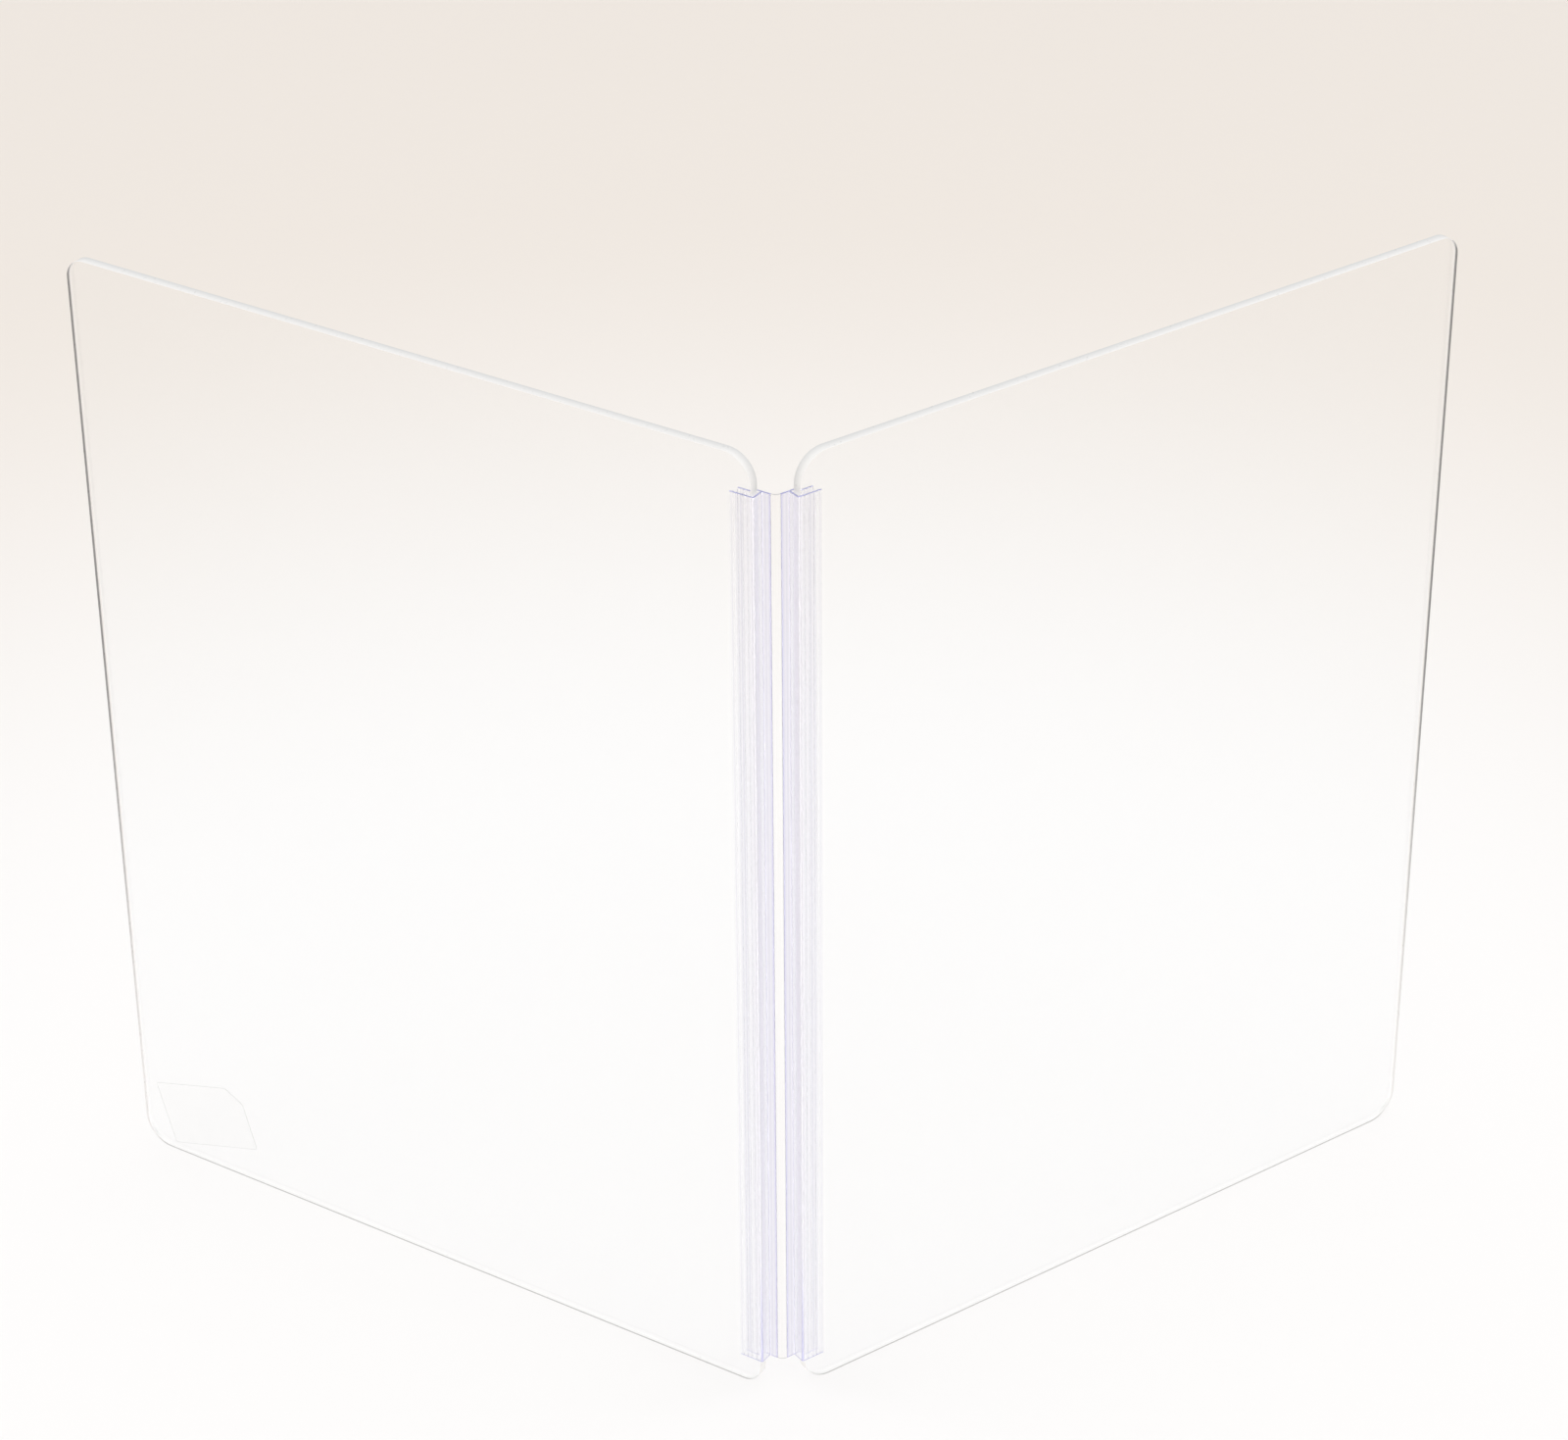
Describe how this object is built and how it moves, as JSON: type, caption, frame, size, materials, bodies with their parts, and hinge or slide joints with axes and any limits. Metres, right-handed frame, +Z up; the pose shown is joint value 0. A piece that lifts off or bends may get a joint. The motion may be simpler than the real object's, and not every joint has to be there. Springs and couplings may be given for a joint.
{
  "type": "folding clear amplifier shield",
  "caption": "Free-standing folding sound shield of clear acrylic sheets joined by a full-length push-on clear living hinge, open in a V.",
  "frame": {"origin": "centre of the bounding box at floor level, with the shield open as in the picture", "axes": "+Z up, +X across the V from the left leaf to the right leaf, +Y from the hinge towards the amplifier's side, so the hinge faces -Y"},
  "size_m": [0.771, 0.2588, 0.6],
  "materials": {
    "clear_acrylic": "clear polished acrylic sheet with satin-polished edges",
    "clear_rigid_vinyl": "clear extruded rigid vinyl with a lavender tint and fine grip ribs",
    "clear_soft_vinyl": "clear flexible vinyl, faintly warm",
    "clear_film": "clear label film, blank"
  },
  "bodies": {
    "web": {"hinge_web": "clear_soft_vinyl"},
    "left_leaf": {"left_panel": "clear_acrylic", "left_hinge_channel": "clear_rigid_vinyl", "label_film": "clear_film"},
    "right_leaf": {"right_panel": "clear_acrylic", "right_hinge_channel": "clear_rigid_vinyl"}
  },
  "joints": [
    {"name": "left_leaf_fold", "type": "hinge", "parent": "web", "child": "left_leaf", "pos_m": [-0.00134, -0.12616, 0.2985], "axis": [0, 0, -1], "range_deg": [-78, 56], "deforming": ["hinge_web"]},
    {"name": "right_leaf_fold", "type": "hinge", "parent": "web", "child": "right_leaf", "pos_m": [0.00134, -0.12616, 0.2985], "axis": [0, 0, 1], "range_deg": [-78, 56], "deforming": ["hinge_web"]}
  ],
  "couplings": [
    {"joint": "right_leaf_fold", "follows": "left_leaf_fold", "ratio": 1}
  ]
}
